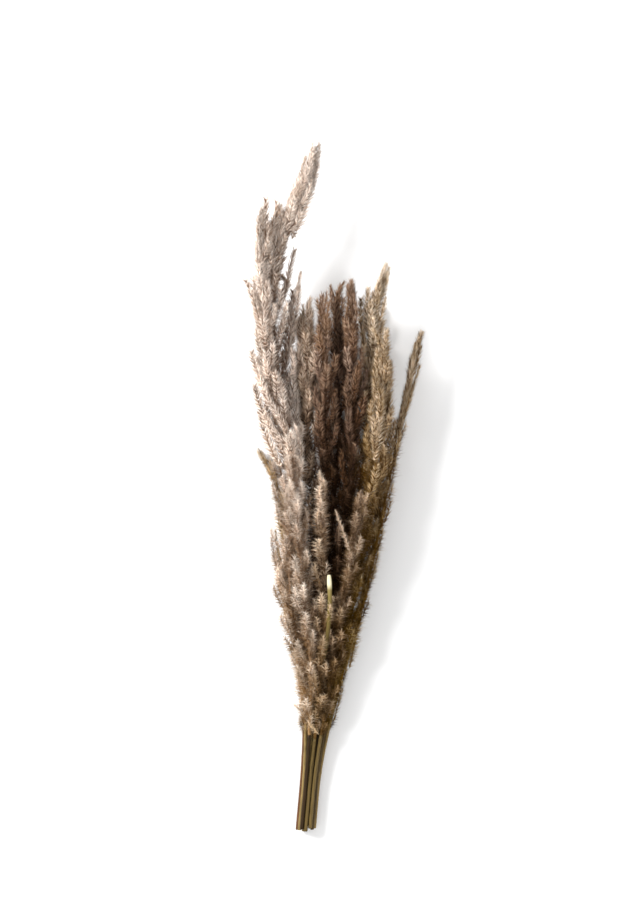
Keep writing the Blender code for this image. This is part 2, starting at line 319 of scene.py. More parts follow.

# Sprigs that stand clear of their plume, laid one by one: the kind of sprig, how wide it is, how
# much paler than its plume, and its root, middle and tip as pixels of the photograph and a height
# in mm.
LOBES = {
    "13": (
        ("feather", 1.1, 0.05, (264, 338, 85), (257, 308, 87), (247, 283, 88)),
        ("feather", 1.2, 0.0, (272, 405, 78), (260, 378, 81), (252, 352, 83)),
        ("feather", 1.1, 0.0, (272, 268, 86), (267, 238, 87), (267, 203, 88)),
        ("feather", 1.0, 0.0, (266, 268, 84), (261, 244, 84), (260, 220, 84)),
        ("wool", 1.2, 0.1, (286, 604, 34), (279, 578, 38), (275, 550, 42)),
        ("wool", 1.4, 0.0, (284, 594, 30), (275, 564, 32), (271, 538, 34)),
    ),
    "08": (
        ("feather", 1.2, 0.0, (277, 440, 66), (263, 412, 68), (255, 385, 68)),
        ("feather", 1.2, 0.0, (282, 468, 60), (268, 440, 62), (260, 412, 60)),
        ("feather", 1.3, -0.05, (288, 472, 40), (280, 440, 44), (273, 408, 48)),
        ("feather", 1.3, -0.05, (285, 440, 44), (277, 408, 48), (270, 376, 52)),
        ("wool", 1.4, 0.05, (290, 502, 40), (283, 480, 46), (276, 454, 50)),
        ("feather", 1.0, 0.05, (280, 262, 68), (277, 234, 70), (277, 203, 70)),
        ("feather", 1.2, 0.05, (270, 302, 70), (266, 264, 72), (270, 224, 72)),
        ("feather", 1.3, 0.05, (268, 284, 70), (276, 248, 70), (289, 213, 67)),
        ("feather", 1.2, 0.05, (262, 266, 76), (270, 238, 76), (281, 211, 72)),
        ("feather", 1.0, 0.05, (276, 252, 70), (284, 224, 68), (295, 198, 66)),
        ("feather", 1.1, -0.05, (294, 342, 58), (292, 318, 60), (293, 291, 60)),
        ("feather", 1.0, -0.05, (277, 442, 50), (269, 418, 54), (266, 396, 56)),
        ("feather", 1.2, 0.0, (277, 290, 68), (276, 252, 70), (285, 214, 70)),
        ("feather", 1.2, 0.05, (283, 248, 62), (289, 218, 63), (298, 188, 63)),
        ("feather", 1.3, 0.05, (290, 222, 62), (298, 194, 62), (308, 168, 62)),
        ("feather", 1.3, 0.0, (292, 240, 60), (304, 212, 60), (313, 184, 60)),
        ("feather", 1.2, 0.0, (301, 206, 60), (312, 184, 60), (318, 163, 61)),
        ("feather", 1.1, -0.05, (289, 474, 50), (295, 438, 54), (296, 402, 56)),
        ("feather", 1.1, -0.05, (287, 424, 54), (293, 388, 58), (293, 350, 60)),
        ("feather", 1.0, -0.05, (284, 376, 56), (290, 338, 60), (290, 304, 60)),
        ("feather", 1.0, -0.1, (282, 446, 46), (288, 408, 46), (288, 372, 46)),
        ("feather", 1.0, -0.1, (281, 396, 48), (286, 358, 48), (286, 322, 50)),
        ("twig", 0.9, -0.3, (288, 236, 66), (301, 214, 66), (312, 190, 66)),
        ("twig", 0.8, -0.15, (281, 262, 66), (291, 234, 68), (299, 250, 66)),
        ("feather", 0.85, -0.2, (283, 304, 64), (289, 276, 66), (295, 250, 66)),
        ("feather", 0.6, -0.25, (288, 318, 62), (296, 296, 64), (301, 272, 64)),
        ("feather", 0.8, -0.2, (290, 336, 60), (297, 310, 62), (299, 286, 62)),
    ),
    "09": (
        ("feather", 1.1, 0.1, (304, 474, 44), (299, 438, 47), (298, 402, 50)),
        ("feather", 1.3, -0.15, (316, 522, 34), (310, 490, 38), (307, 458, 42)),
        ("feather", 1.3, -0.15, (312, 482, 40), (308, 448, 44), (306, 414, 46)),
        ("feather", 1.1, 0.1, (304, 424, 46), (299, 388, 50), (299, 352, 54)),
        ("feather", 1.0, 0.1, (305, 384, 48), (301, 350, 52), (302, 316, 56)),
    ),
    "16": (
        ("wool", 1.2, 0.0, (346, 672, 28), (353, 644, 30), (358, 616, 32)),
        ("wool", 1.2, 0.0, (354, 628, 30), (362, 600, 32), (368, 572, 36)),
    ),
    "05": (
        ("feather", 1.2, 0.0, (316, 470, 26), (303, 436, 28), (300, 400, 28)),
        ("feather", 1.2, 0.0, (314, 420, 26), (300, 388, 28), (297, 352, 28)),
    ),
    "04": (
        ("wool", 0.9, 0.2, (277, 486, 12), (267, 466, 12), (257, 448, 12)),
        ("wool", 1.2, 0.1, (284, 582, 30), (278, 556, 32), (275, 530, 36)),
    ),
    "19": (("wool", 0.8, 0.12, (353, 562, 66), (344, 534, 76), (335, 509, 82)),),
    "18": (("wool", 0.8, 0.4, (318, 736, 31), (314, 731, 35), (308, 724, 37)),),
    "17": (("wool", 1.0, 0.35, (303, 716, 30), (299, 711, 32), (293, 706, 33)),),
    "12": (
        ("feather", 0.65, 0.0, (403, 416, 50), (409, 382, 52), (417, 346, 54)),
        ("wool", 1.6, -0.2, (363, 590, 32), (368, 560, 35), (372, 532, 38)),
        ("wool", 1.5, -0.2, (350, 670, 22), (357, 640, 25), (362, 610, 28)),
        ("feather", 0.65, 0.0, (399, 440, 50), (403, 412, 52), (411, 380, 54)),
        ("twig", 0.8, -0.3, (334, 724, 22), (339, 706, 24), (343, 690, 24)),
    ),
    "11": (
        ("feather", 1.0, 0.0, (365, 350, 56), (361, 324, 56), (361, 299, 56)),
        ("feather", 1.0, 0.05, (371, 340, 60), (367, 314, 60), (368, 288, 60)),
        ("feather", 1.1, -0.1, (384, 440, 60), (388, 404, 62), (389, 368, 62)),
    ),
    "07": (
        ("feather", 1.2, -0.3, (376, 522, 30), (382, 488, 34), (386, 454, 38)),
        ("feather", 1.2, -0.3, (371, 562, 28), (377, 530, 30), (381, 498, 32)),
        ("wool", 1.4, -0.2, (361, 602, 28), (367, 574, 30), (372, 548, 32)),
        ("wool", 1.7, -0.3, (358, 582, 16), (364, 554, 18), (369, 526, 20)),
        ("twig", 1.0, -0.3, (385, 524, 26), (389, 512, 30), (392, 499, 32)),
    ),
}
LOBE_STEPS = 6

# A broken straw in the middle of the bundle, given like the sprigs above: bare and pale at its end.
PEELED_STRAW = ((323, 668, 40), (329, 618, 60), (329, 574, 65))
PEELED_RADIUS = 2.6 * MM
PEELED_SIDES = 10
PEELED_RINGS = 14
PEELED_SWELL = ((0, 0.3, 0.8, 0.9, 1), (0.6, 0.85, 0.9, 1.1, 0.75))
PEELED_COLOURS = (
    (0.1, (0.05, 0.032, 0.010)),
    (0.7, (0.17, 0.125, 0.035)),
    (0.84, (0.22, 0.17, 0.06)),
    (0.9, (0.72, 0.66, 0.44)),
)

# The bare straw stems, with two nodes where leaves once grew and a rim at the cut end.
STEM_RADIUS = 2.05 * MM
STEM_SIDES = 12
STEM_RING_SPACING = 4 * MM
STEM_THINNING = 0.22 / 0.25
NODES = ((60 * MM, 90 * MM), (150 * MM, 200 * MM))
NODE_SWELL = 0.12
NODE_LENGTH = 2.2 * MM
RIM = 0.9
RIM_LENGTH = 0.4 * MM
JOIN_GAP = 0.3 * MM

# Colours of the fluff from dark to pale, and at which tones they lie. The dark end serves both the
# spikelets' dark roots and the painted shade in each plume's depth.
TONES = {
    "pale": ((0.24, 0.155, 0.105), (0.66, 0.525, 0.43), (0.96, 0.86, 0.77)),
    "taupe": ((0.070, 0.041, 0.024), (0.40, 0.280, 0.20), (0.88, 0.72, 0.58)),
    "dark": ((0.024, 0.011, 0.005), (0.155, 0.092, 0.062), (0.52, 0.375, 0.28)),
    "tan": ((0.095, 0.052, 0.022), (0.49, 0.36, 0.235), (0.93, 0.79, 0.63)),
}
TONE_PLACES = (0.08, 0.5, 0.95)

# How rich the fluff's colour is, and its hue: from one place along the bunch to another, in the
# frame's metres, and the value at each.
RICH_LOW_DOWN = {
    "pale": (-0.27, 0.08, 1.6, 1.15),
    "taupe": (-0.27, 0.08, 1.6, 1.2),
    "dark": (-0.27, 0.08, 1.5, 1.3),
    "tan": (-0.15, 0.2, 1.6, 1.2),
}
OLIVE_LOW_DOWN = (-0.27, 0.08, 0.512, 0.5)

# Branches differ in brightness, and paler ones are greyer. Two layers of noise mottle the fluff,
# each with its scale and how far it darkens and lightens.
BRIGHTNESS = (0.8, 1.18)
GREYER = -0.3
MOTTLING = (((420, 170, 420), 0.7, 1.3), ((75, 16, 75), 0.74, 1.26))

# The straw's colours, from reddish brown and dark brown to olive and light straw, and where the
# stems that are seen from above lie among them.
STRAW_COLOURS = (
    (0.0, (0.125, 0.056, 0.024)),
    (0.3, (0.030, 0.016, 0.005)),
    (0.6, (0.092, 0.060, 0.018)),
    (1.0, (0.24, 0.165, 0.062)),
)
STEM_TINTS = {"08": 0.0, "13": 0.95, "17": 0.3, "18": 0.62, "19": 0.66, "16": 0.45, "12": 0.9}
STREAK_SCALE = (1300, 14, 1300)
STREAK_SHADES = (0.45, 1.45)
STREAK_RELIEF = 0.3 * MM
STREAK_STRENGTH = 0.35

# Sockets of a Map Range node, and the part of a noise's range that nearly all of it lies in.
RANGE = ("From Min", "From Max", "To Min", "To Max")
NOISE_RANGE = (0.3, 0.7)

# How little light every finish here throws back.
DULL = 0.12

# The plain floor.
FLOOR_HALF = 6
FLOOR_GREY = 0.9


def eased(share):
    """0 below 0 and 1 above 1, with a soft start and end between."""
    share = min(max(share, 0.0), 1.0)
    return share * share * (3 - 2 * share)


class Stalk:
    """One stalk: its place across the bundle for each y, and how wide its plume is."""

    def __init__(self, number, row, column, given):
        self.name = f"{number:02d}"
        self.colour = given["colour"]
        self.reach = given["reach"] * MM
        self.start = given["start"] * MM
        self.across = (column - (ROWS[row] - 1) / 2) / 2
        self.up = (row - 2) * math.sin(math.radians(60)) / 2
        self.random = random.Random(number)
        self.cut = self.random.uniform(0, CUT_STAGGER)
        self.phase = self.random.uniform(0, math.tau)
        stray = [s * MM for s in given.get("stray", (0, 0))]
        tip = Vector(given["tip"]) * MM
        handle_x = HANDLE_X + self.across * 2 * CULM_PITCH
        flat_height = CULM_RADIUS * math.cos(math.pi / CULM_SIDES)
        handle_z = flat_height + row * CULM_PITCH * math.sin(math.radians(60))
        ends = [Vector((handle_x + HANDLE_LEAN * y, y, handle_z)) for y in (0.0, HANDLE_LENGTH)]
        fans = [
            self.in_fan(fan, stray, share)
            for fan, share in FANS
            if fan["y"] + LEAST_SPAN < tip.y
        ]
        via = [Vector(point) * MM for point in given.get("via", ())]
        self.knots = ends + fans + via + [tip]
        self.slopes = self.find_slopes()

    @property
    def tip(self):
        return self.knots[-1].y

    def in_fan(self, fan, stray, share):
        x = fan["x"] + self.across * fan["wide"] + share * stray[0]
        z = fan["z"] + self.up * fan["deep"] + share * stray[1]
        return Vector((x, fan["y"], z))

    def find_slopes(self):
        """The sideways slope at each knot: straight in the handle, and smooth from there on."""
        slopes = [Vector((HANDLE_LEAN, 1, 0))] * 2
        for before, after in zip(self.knots[1:], self.knots[3:]):
            slopes.append((after - before) / (after.y - before.y))
        last, end = self.knots[-2:]
        slopes.append((end - last) / (end.y - last.y))
        return slopes

    def at(self, y):
        """The middle of the stalk at y."""
        k = 0
        while k < len(self.knots) - 2 and y > self.knots[k + 1].y:
            k += 1
        low, high = self.knots[k], self.knots[k + 1]
        span = high.y - low.y
        t = (y - low.y) / span
        if t > 1:
            return high + self.slopes[k + 1] * (y - high.y)
        rise = t * t * (3 - 2 * t)
        leave = self.slopes[k] * (t * (1 - t) ** 2)
        arrive = self.slopes[k + 1] * (t * t * (1 - t))
        place = low.lerp(high, rise) + (leave - arrive) * span
        return Vector((place.x, y, place.z))

    def reach_at(self, y):
        """How far the plume spreads from its axis at y when nothing presses on it."""
        if y < self.start:
            return CULM_RADIUS
        t = (y - self.start) / (self.tip - self.start)
        opening = 0.4 + 0.6 * eased(t / 0.3)
        closing = 1 - 0.62 * min(t, 1.0) ** 4
        return self.reach * opening * closing


def make_stalks():
    stalks = []
    for row, members in enumerate(STALKS):
        for column, given in enumerate(members):
            stalks.append(Stalk(len(stalks) + 1, row, column, given))
    return stalks


def walls_round(stalk, y, stalks):
    """The planes that keep this plume off the surface and its neighbours at y, each as the way to
    it across the bundle and how far it lies from the plume's axis."""
    here = stalk.at(y)
    own = stalk.reach_at(y)
    walls = [(Vector((0, 0, -1)), here.z)]
    for other in stalks:
        if other is stalk or y > other.tip:
            continue
        way = other.at(y) - here
        apart = way.length
        theirs = other.reach_at(y)
        share = (apart**2 + own**2 - theirs**2) / (2 * apart)
        least = CULM_RADIUS if y < stalk.start else AXIS_RADIUS
        most = apart - (CULM_RADIUS if y < other.start else AXIS_RADIUS)
        walls.append((way / apart, min(max(share, least), most) + MINGLING))
    if stalk.name in GAPS:
        low, high, side, distance = GAPS[stalk.name]
        if low < y < high:
            walls.append((Vector((side, 0, 0)), distance))
    return walls


def way_out(angle):
    """The direction across the bundle at an angle from +X towards +Z."""
    return Vector((math.cos(angle), 0, math.sin(angle)))


def room(walls, way, reach):
    """How far the plume can spread from its axis one way."""
    ahead = [distance / way.dot(normal) for normal, distance in walls if way.dot(normal) > 0.01]
    return max(min(ahead + [reach]), 0)


def fitted(middle, radius, walls):
    """The middle moved in from the walls, and the radius that has room there."""
    for _ in range(FITTING_ROUNDS):
        for way, distance in walls:
            over = middle.dot(way) + radius - distance
            if over > 0:
                middle = middle - way * over
    free = min(distance - middle.dot(way) for way, distance in walls)
    return middle, max(min(radius, free), LEAST_RADIUS)


class Sprig:
    """A straight branch with its spikelets and hairs, along +Z, to be bent onto a plume."""

    def __init__(self, name, kind, length, seed):
        self.length = length
        self.kind = kind
        self.random = random.Random(seed)
        self.tones = []
        bm = bmesh.new()
        self.stroke(bm, Matrix.Identity(4), length, SPRIG_STEM_WIDTH, SPRIG_STEM_TONES)
        self.add_spikelets(bm, SPRIGS[kind])
        self.mesh = bpy.data.meshes.new(name)
        bm.to_mesh(self.mesh)
        bm.free()
        self.size = len(self.mesh.vertices)
        self.points = np.empty(self.size * 3)
        self.mesh.vertices.foreach_get("co", self.points)
        self.points = self.points.reshape(-1, 3)
        self.tones = np.array(self.tones)

    def stroke(self, bm, place, length, width, tones):
        """A fine three-sided spikelet or hair along the place's Z, widest at its root."""
        inverse = place.inverted()
        made = bmesh.ops.create_cone(
            bm,
            cap_ends=True,
            segments=3,
            radius1=width / 2,
            radius2=0,
            depth=length,
            matrix=place @ Matrix.Translation((0, 0, length / 2)),
        )
        for vert in made["verts"]:
            t = (inverse @ vert.co).z / length
            self.tones.append(tones[0] + (tones[1] - tones[0]) * t)

    def add_spikelets(self, bm, form):
        for k in range(int(self.length / form["spacing"])):
            whorl = k + 0.2 + self.random.gauss(0, 0.1)
            for turn in form["rows"]:
                z = (whorl + self.random.gauss(0, form["stagger"])) * form["spacing"]
                self.add_spikelet(bm, form, turn, z)

    def add_spikelet(self, bm, form, turn, z):
        """A spikelet at a height on the stem, smaller towards both ends, and perhaps its hair."""
        t = z / self.length
        swell = (0.55 + 0.45 * eased(t / 0.25)) * (1 - 0.3 * eased((t - 0.7) / 0.3))
        angle = form["angle"] * (1 - 0.35 * t**3) + self.random.gauss(0, form["spread"])
        around = math.radians(turn + self.random.gauss(0, 9))
        place = (
            Matrix.Translation((0, 0, z))
            @ Matrix.Rotation(around - math.pi / 2, 4, "Z")
            @ Matrix.Rotation(math.radians(-angle), 4, "X")
        )
        length = form["length"] * swell * self.random.uniform(0.8, 1.12)
        shade = self.random.gauss(0, 0.07)
        tones = [tone + shade for tone in form["tones"]]
        self.stroke(bm, place, length, form["width"], tones)
        if self.random.random() < form["hairs"]:
            lean = Matrix.Rotation(self.random.gauss(0, HAIR_SWING), 4, "X")
            swing = Matrix.Rotation(self.random.gauss(0, HAIR_SWING), 4, "Y")
            at = place @ Matrix.Translation((0, 0, length * 0.25)) @ lean @ swing
            self.stroke(bm, at, form["hair"] * swell, form["hair_width"], HAIR_TONES)


def make_sprigs():
    """A few sprigs of each kind and length, which all the branches share."""
    sprigs = {}
    for kind in SPRIGS:
        sprigs[kind] = [
            [
                Sprig(f"sprig_{kind}_{k}_{seed}", kind, length, 10 * k + seed)
                for seed in range(SPRIGS_EACH)
            ]
            for k, length in enumerate(SPRIG_LENGTHS)
        ]
    return sprigs


def sprig_for(sprigs, kind, length, draw):
    """A sprig of this kind, near this length."""
    k = min(range(len(SPRIG_LENGTHS)), key=lambda k: abs(SPRIG_LENGTHS[k] - length))
    return draw.choice(sprigs[kind][k])


class Bent:
    """A line that a sprig is bent along. It has a kind, a length, and the points and widths at even
    steps along it."""

    def face(self, outward):
        """Turns the sprig's outward side this way, as nearly as the line lets it."""
        along = self.line[-1] - self.line[0]
        along /= np.linalg.norm(along)
        self.end_way = (self.line[-1] - self.line[-2]) * (len(self.line) - 1) / self.length
        outward = outward - along * outward.dot(along)
        self.outward = outward / np.linalg.norm(outward)
        self.sideways = np.cross(self.outward, along)

    def carry(self, sprig):
        """The sprig's points, bent along this line."""
        x, y, z = sprig.points.T
        t = z / sprig.length
        held = np.clip(t, 0, 1)
        middle = np.stack([np.interp(held, self.steps, self.line[:, k]) for k in range(3)], axis=1)
        width = np.interp(held, self.steps, self.widths)
        beyond = (t - held) * self.length
        points = (
            middle
            + np.outer(x * width, self.sideways)
            + np.outer(y * width, self.outward)
            + np.outer(beyond, self.end_way)
        )
        points[:, 2] = np.maximum(points[:, 2], LOWEST_POINT)
        return points


class Branch(Bent):
    """One side branch, from the plume's axis outwards."""

    def __init__(self, stalk, stalks, root, length, angle, woolly, draw):
        self.kind = "wool" if woolly else "feather"
        self.stalk = stalk
        self.root = root
        self.length = length
        self.steps = np.linspace(0, 1, SPINE_STEPS)
        self.way = way_out(angle)
        self.far = draw.uniform(0.8, 1) if woolly else draw.uniform(0.85, 1.2)
        loose = WANDER * min(stalk.reach / USUAL_REACH, 1) * (0.5 if woolly else 1)
        wander = Vector((draw.gauss(0, loose), 0, draw.gauss(0, loose)))
        line, widths, depths = [], [], []
        for t in self.steps:
            middle, width, depth = self.across(root + length * t, t, stalks)
            line.append(middle + wander * t**2)
            widths.append(width)
            depths.append(depth)
        self.line = np.array([tuple(p) for p in line])
        self.widths = np.array(widths) * draw.uniform(0.9, 1.15)
        if woolly:
            self.widths *= WOOL_WIDTH * np.interp(self.steps, *WOOL_WIDTHS)
        self.depths = np.array(depths)
        twisted = way_out(angle + draw.gauss(0, TWIST)) + LIFT * Vector((0, 0, 1))
        self.face(np.array(tuple(twisted)))

    def across(self, y, t, stalks):
        """The branch's middle at y, its width, and how near the plume's surface it lies."""
        stalk = self.stalk
        walls = walls_round(stalk, y, stalks)
        reach = max(stalk.reach_at(min(y, stalk.tip)), FOOT_REACH)
        reach *= 1 - TIP_CLOSED * eased(1 - (stalk.tip - y) / TIP_CLOSING)
        radius = min(BRANCH_WIDTH, 0.5 * reach)
        out = self.far * math.sin(min(t / SWING_OUT, 1) * math.pi / 2)
        spread = max(room(walls, self.way, reach) - 0.7 * radius, LEAST_SPREAD) * out
        spread = min(spread, reach - 0.3 * radius)
        middle, free = fitted(self.way * spread, BRANCH_THICKNESS * radius, walls)
        least_width = min(reach / USUAL_REACH + 0.4, 1)
        width = max(free / BRANCH_WIDTH, least_width)
        depth = min(middle.length / (0.6 * reach), 1)
        return stalk.at(y) + middle, width, depth

    def shades(self, sprig):
        """How much paler or darker each of the sprig's points is for its place in the plume, partly
        its own tone and partly painted light and shade.
        """
        t = np.clip(sprig.points[:, 2] / sprig.length, 0, 1)
        below = min((self.stalk.tip - self.root - self.length) / FALL_LENGTH, 1)
        # Painted shade: darker the nearer the branch lies to the plume's axis, deep in the fluff.
        depth = DEPTH_PAINTED_SHADE * (np.interp(t, self.steps, self.depths) - 0.8)
        # Darker below the tip, with painted shade in the stronger fall of the tan and dark plumes.
        fall = FALL[self.stalk.colour]
        # Partly the plume's own colour, partly painted shade on the right-hand plumes.
        own = PLUME_TONES_AND_SHADE.get(self.stalk.name, 0)
        woolly = self.kind == "wool"
        # Paler towards the branch's tip: partly the fluff's own paler tips, partly painted shade at
        # the roots between lobes and painted light at their ends.
        along = WOOL_TONE * (t**1.5 - 0.33) if woolly else FEATHER_TONE * (t - 0.5)
        return depth + own + along - fall * below


class Filling(Bent):
    """A stretch of fluff along the plume's own axis. The crown is the part near the plume's tip."""

    def __init__(self, stalk, stalks, root, draw):
        crown = root > stalk.tip - CROWN_LENGTH
        self.kind = "feather" if crown and root > WOOL_BELOW else "wool"
        # Painted shade: the filling below the crown is darker, deep inside the plume.
        self.shade = 0.0 if crown else INNER_PAINTED_SHADE
        self.spacing = CROWN_SPACING if crown else FILLING_SPACING
        self.length = FILLING_LENGTH
        self.steps = np.linspace(0, 1, SPINE_STEPS)
        places = root + self.length * self.steps
        self.line = np.array([tuple(stalk.at(y)) for y in places])
        share = CROWN_SHARE if crown else FILLING_SHARE
        widths = []
        for y in places:
            free = min(distance for way, distance in walls_round(stalk, y, stalks))
            reach = stalk.reach_at(min(y, stalk.tip))
            widths.append(share * min(reach, max(free * 1.4, 0.5 * reach)) / BRANCH_WIDTH)
        self.widths = np.array(widths)
        turn = draw.gauss(math.pi / 2, 0.5) if crown else draw.uniform(0, math.tau)
        self.face(np.array(tuple(way_out(turn))))

    def shades(self, sprig):
        return np.full(sprig.size, self.shade)


def curve_through(places):
    """A smooth curve of a few steps, from three places of the photograph's pixels and a height."""
    root, middle, tip = [
        Vector(((x - PHOTO_START[0]) * PHOTO_PIXEL, (PHOTO_START[1] - y) * PHOTO_PIXEL, z * MM))
        for x, y, z in places
    ]
    handle = 2 * middle - (root + tip) / 2
    steps = np.linspace(0, 1, LOBE_STEPS)
    line = [root * (1 - t) ** 2 + handle * (2 * t * (1 - t)) + tip * t**2 for t in steps]
    return steps, np.array([tuple(p) for p in line])


class Lobe(Bent):
    """A sprig that is laid along given places and faces up."""

    def __init__(self, kind, width, paler, *places):
        self.kind = kind
        self.steps, self.line = curve_through(places)
        self.length = sum(np.linalg.norm(b - a) for a, b in zip(self.line, self.line[1:]))
        self.widths = np.full(LOBE_STEPS, width)
        self.paler = paler
        self.face(np.array((0, 0, 1.0)))

    def shades(self, sprig):
        return np.full(sprig.size, self.paler)


def lofted(rings):
    """A closed tube through rings of corners."""
    bm = bmesh.new()
    cap = bm.faces.new([bm.verts.new(corner) for corner in rings[0]])
    for corners in rings[1:]:
        cap = bmesh.ops.extrude_discrete_faces(bm, faces=[cap])["faces"][0]
        for vert, corner in zip(cap.verts, corners):
            vert.co = corner
    bmesh.ops.holes_fill(bm, edges=[e for e in bm.edges if e.is_boundary], sides=0)
    bmesh.ops.recalc_face_normals(bm, faces=bm.faces)
    return bm


def ring(middle, radius, sides):
    """Corners round a middle, across the bundle."""
    return [middle + radius * way_out(math.tau * k / sides) for k in range(sides)]


def heights(low, high, spacing):
    """Even steps from low to high, both included."""
    count = max(1, round((high - low) / spacing))
    return [low + (high - low) * k / count for k in range(count + 1)]


def is_hidden(stalk):
    """Whether other plumes lie all round this one."""
    return abs(stalk.across) < INNER_ACROSS and abs(stalk.up) < INNER_UP


def filling_of(stalk, stalks):
    """The fluff along the plume's axis, from foot to tip."""
    draw = random.Random(f"filling {stalk.name}")
    y = stalk.start
    while y < stalk.tip - FILLING_LENGTH:
        filling = Filling(stalk, stalks, y, draw)
        yield filling, draw
        y += filling.spacing


def branches_of(stalk, stalks):
    """The plume's side branches, from its foot to its tip."""
    draw = random.Random(f"branches {stalk.name}")
    hidden = is_hidden(stalk)
    y = stalk.start - HIDDEN_START if hidden else FOOT
    angle = stalk.phase
    spacing = HIDDEN_SPACING if hidden else BRANCH_SPACING
    spacing *= (USUAL_REACH / stalk.reach) ** (0.8 if stalk.reach > USUAL_REACH else 0.3)
    while y < stalk.tip - 0.8 * LEAST_BRANCH:
        woolly = y < WOOL_BELOW + draw.gauss(0, WOOL_EDGE)
        from_foot = FOOT_BRANCH + LONGER_TO_MIDDLE * (y - FOOT)
        to_tip = LEAST_BRANCH + SHORTER_TO_TIP * (stalk.tip - y)
        most = WOOL_LENGTH if woolly else BRANCH_LENGTH
        length = min(most, from_foot, to_tip) * draw.uniform(0.85, 1.15)
        length = min(length, stalk.tip + TIP_FLUFF - y) - draw.uniform(0, TIP_UNEVEN)
        turned = angle + draw.gauss(0, 0.25)
        yield Branch(stalk, stalks, y, length, turned, woolly, draw), draw
        angle += TURN_BETWEEN_BRANCHES
        seen_tip = hidden and y > stalk.tip - HIDDEN_TIP
        closer = BRANCH_SPACING / spacing if seen_tip else 1
        loose = WOOL_LOOSE if woolly else 1
        y += spacing * closer * loose * (0.5 + 0.5 * length / BRANCH_LENGTH)


def lobes_of(stalk):
    """The sprigs that stand clear of this plume."""
    draw = random.Random(f"lobes {stalk.name}")
    for given in LOBES.get(stalk.name, ()):
        yield Lobe(*given), draw


def axis_of(stalk):
    """The plume's own axis, thinner towards the tip."""
    places = heights(stalk.start - AXIS_FOOT, stalk.tip - AXIS_END, AXIS_RING_SPACING)
    span = places[-1] - places[0]
    return lofted(
        [
            ring(stalk.at(y), AXIS_FOOT_RADIUS - AXIS_THINNING * (y - places[0]) / span, AXIS_SIDES)
            for y in places
        ]
    )


def make_plume(stalk, stalks, sprigs, shift):
    """One plume: its axis, its filling and all its branches in one mesh."""
    bm = axis_of(stalk)
    points = [np.array([tuple(v.co) for v in bm.verts])]
    tones = [np.full(len(bm.verts), AXIS_TONE)]
    tints = [np.full(len(bm.verts), 0.5)]
    laid = [
        (bent, sprig_for(sprigs, bent.kind, bent.length, draw), draw)
        for bent, draw in chain(
            filling_of(stalk, stalks), branches_of(stalk, stalks), lobes_of(stalk)
        )
    ]
    for bent, sprig, draw in laid:
        bm.from_mesh(sprig.mesh)
        points.append(bent.carry(sprig))
        tones.append(sprig.tones + bent.shades(sprig) + draw.gauss(0, UNLIKE[sprig.kind]))
        tints.append(np.full(sprig.size, draw.random()))
    made = piece(f"fluff_{stalk.name}", bm)
    placed = np.concatenate(points) + np.array(tuple(shift))
    made.data.vertices.foreach_set("co", placed.astype(np.float32).ravel())
    for name, values in (("tone", tones), ("tint", tints)):
        paint(made, name, np.clip(np.concatenate(values), 0, 1))
    made.data.update()
    return made


def piece(name, bm):
    """An object of the scene from a finished bmesh."""
    mesh = bpy.data.meshes.new(name)
    bm.to_mesh(mesh)
    bm.free()
    mesh.shade_smooth()
    made = bpy.data.objects.new(name, mesh)
    bpy.context.scene.collection.objects.link(made)
    return made


def paint(made, name, values):
    """Gives each of the piece's points a value that its material reads."""
    layer = made.data.attributes.new(name, "FLOAT", "POINT")
    layer.data.foreach_set("value", values.astype(np.float32))


def make_stem(stalk, shift):
    """The bare culm: a round straw stem with a node or two where leaves once grew."""
    draw = random.Random(f"stem {stalk.name}")
    nodes = [draw.uniform(*span) for span in NODES]
    rings = []
    top = stalk.start - JOIN_GAP
    for y in [stalk.cut] + heights(stalk.cut + RIM_LENGTH, top, STEM_RING_SPACING):
        swell = 1 + sum(NODE_SWELL * math.exp(-(((y - node) / NODE_LENGTH) ** 2)) for node in nodes)
        taper = 1 - STEM_THINNING * (y - stalk.cut)
        rim = RIM if y == stalk.cut else 1
        corners = ring(stalk.at(y) + shift, STEM_RADIUS * swell * taper * rim, STEM_SIDES)
        rings.append([Vector((c.x, c.y, max(c.z, 0))) for c in corners])
    made = piece(f"stem_{stalk.name}", lofted(rings))
    own = STEM_TINTS.get(stalk.name, draw.random())
    paint(made, "tint", np.full(len(made.data.vertices), own))
    return made


def make_peeled_straw(shift):
    """A short broken straw that stands up out of the fluff, bare at its end."""
    steps, line = curve_through(PEELED_STRAW)
    rings = []
    for t in np.linspace(0, 1, PEELED_RINGS):
        middle = Vector([np.interp(t, steps, line[:, k]) for k in range(3)]) + shift
        swell = float(np.interp(t, *PEELED_SWELL))
        rings.append(ring(middle, PEELED_RADIUS * swell, PEELED_SIDES))
    made = piece("peeled_straw", lofted(rings))
    made.data.materials.append(peeled_material(rings[0][0].y, rings[-1][0].y))
    return made


def shader_of(material):
    return material.node_tree.nodes["Principled BSDF"]


def new_material(name, roughness):
    made = bpy.data.materials.new(name)
    made.use_nodes = True
    shader_of(made).inputs["Roughness"].default_value = roughness
    shader_of(made).inputs["Specular IOR Level"].default_value = DULL
    return made


def coloured(material, colour):
    """The material with a colour that its nodes work out."""
    material.node_tree.links.new(colour, shader_of(material).inputs["Base Color"])
    return material


def attribute(material, name):
    node = material.node_tree.nodes.new("ShaderNodeAttribute")
    node.attribute_name = name
    return node.outputs["Fac"]


def object_place(material):
    return material.node_tree.nodes.new("ShaderNodeTexCoord").outputs["Object"]


def along_bunch(material):
    """The place along the bunch, from the cut ends to the tips."""
    node = material.node_tree.nodes.new("ShaderNodeSeparateXYZ")
    material.node_tree.links.new(object_place(material), node.inputs["Vector"])
    return node.outputs["Y"]


